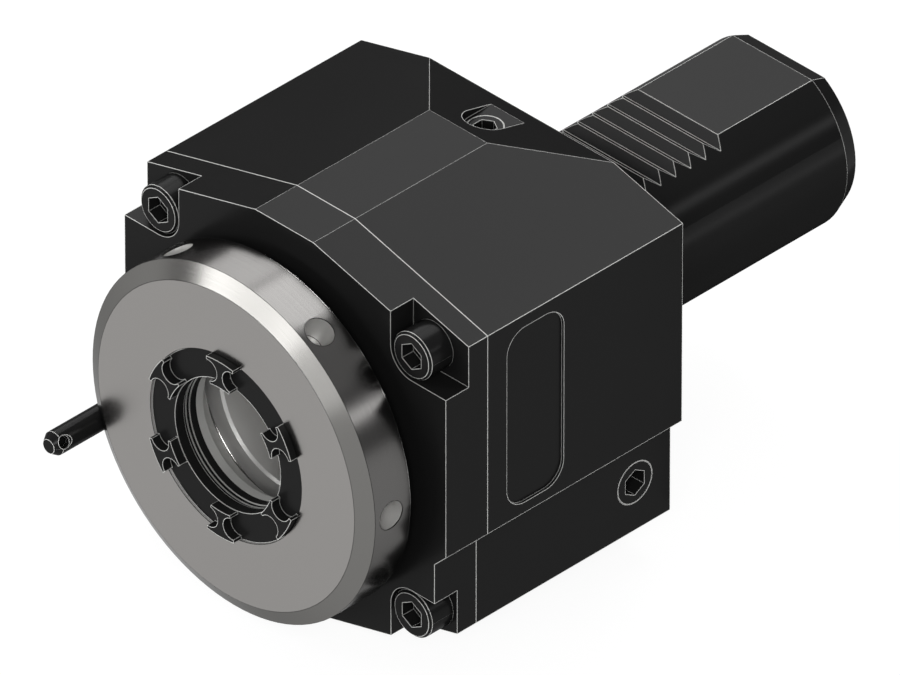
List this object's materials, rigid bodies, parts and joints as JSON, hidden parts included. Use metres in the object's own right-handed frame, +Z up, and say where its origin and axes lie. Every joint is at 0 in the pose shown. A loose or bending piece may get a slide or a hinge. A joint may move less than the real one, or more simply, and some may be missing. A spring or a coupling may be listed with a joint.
{
  "type": "axial driven tool holder",
  "caption": "Driven tool holder with a toothed round shank, a square steel head, a bright spindle nose with a clamping nut, and a side coolant tube.",
  "frame": {"origin": "centre of the shank, in the plane of the rear seating face", "axes": "+Y along the shank, away from the head; the spindle nose points to -Y; +Z up, on the side of the shank's rack; +X to the right of someone who looks at the nose"},
  "size_m": [0.085, 0.1648, 0.085],
  "materials": {
    "black_steel": "milled alloy steel, black oxide, satin",
    "black_nut_steel": "turned steel, black oxide, satin",
    "black_screw_steel": "cold headed steel, black oxide",
    "black_tube_steel": "drawn steel tube, black oxide",
    "ground_steel": "hardened steel, cylindrically ground, bright",
    "turned_steel": "turned steel, bright",
    "bearing_steel": "ground bearing steel",
    "ball_steel": "lapped bearing steel",
    "cage_brass": "machined brass",
    "spring_steel": "stamped spring steel, phosphated",
    "seal_rubber": "nitrile rubber"
  },
  "bodies": {
    "holder": {"housing": "black_steel", "front_cover": "black_steel", "cover_screws": "black_screw_steel", "cover_o_ring": "seal_rubber", "front_shaft_seal": "seal_rubber", "tail_shaft_seal": "seal_rubber", "tail_snap_ring": "spring_steel", "grease_plug": "black_screw_steel", "side_plug": "black_screw_steel", "shank_o_ring": "seal_rubber", "coolant_inlet_o_ring": "seal_rubber", "outer_spacer_ring": "turned_steel", "front_bearing_outer_ring": "bearing_steel", "second_bearing_outer_ring": "bearing_steel", "tail_bearing_outer_ring": "bearing_steel"},
    "spindle": {"spindle": "ground_steel", "front_bearing_inner_ring": "bearing_steel", "second_bearing_inner_ring": "bearing_steel", "inner_spacer_ring": "turned_steel", "spindle_lock_nut": "turned_steel", "lock_nut_set_screw": "black_screw_steel", "tail_bearing_inner_ring": "bearing_steel", "shaft_snap_ring": "spring_steel"},
    "front_ball_set": {"front_bearing_balls": "ball_steel", "front_bearing_cage": "cage_brass"},
    "second_ball_set": {"second_bearing_balls": "ball_steel", "second_bearing_cage": "cage_brass"},
    "tail_ball_set": {"tail_bearing_balls": "ball_steel", "tail_bearing_cage": "cage_brass"},
    "extractor_ring": {"extractor_ring": "black_nut_steel"},
    "clamping_nut": {"clamping_nut": "black_nut_steel"},
    "coolant_tube": {"coolant_tube": "black_tube_steel", "coolant_tube_o_ring": "seal_rubber"}
  },
  "joints": [
    {"name": "spindle_spin", "type": "hinge", "parent": "holder", "child": "spindle", "pos_m": [0, 0, 0], "axis": [0, 1, 0], "continuous": true},
    {"name": "front_ball_set_spin", "type": "hinge", "parent": "holder", "child": "front_ball_set", "pos_m": [0, 0, 0], "axis": [0, 1, 0], "continuous": true},
    {"name": "second_ball_set_spin", "type": "hinge", "parent": "holder", "child": "second_ball_set", "pos_m": [0, 0, 0], "axis": [0, 1, 0], "continuous": true},
    {"name": "tail_ball_set_spin", "type": "hinge", "parent": "holder", "child": "tail_ball_set", "pos_m": [0, 0, 0], "axis": [0, 1, 0], "continuous": true},
    {"name": "extractor_slide", "type": "slide", "parent": "spindle", "child": "extractor_ring", "axis": [0, -1, 0], "range_m": [0, 0.00901]},
    {"name": "nut_turn", "type": "hinge", "parent": "extractor_ring", "child": "clamping_nut", "pos_m": [0, -0.0715, 0], "axis": [0, -1, 0], "range_deg": [0, 2160]},
    {"name": "coolant_tube_swivel", "type": "hinge", "parent": "holder", "child": "coolant_tube", "pos_m": [-0.03791, -0.05, -0.01448], "axis": [0, 1, 0], "continuous": true}
  ],
  "couplings": [
    {"joint": "front_ball_set_spin", "follows": "spindle_spin", "ratio": 0.42593},
    {"joint": "second_ball_set_spin", "follows": "spindle_spin", "ratio": 0.42593},
    {"joint": "tail_ball_set_spin", "follows": "spindle_spin", "ratio": 0.39767},
    {"joint": "extractor_slide", "follows": "nut_turn", "m_per_rad": 0.00023873}
  ]
}
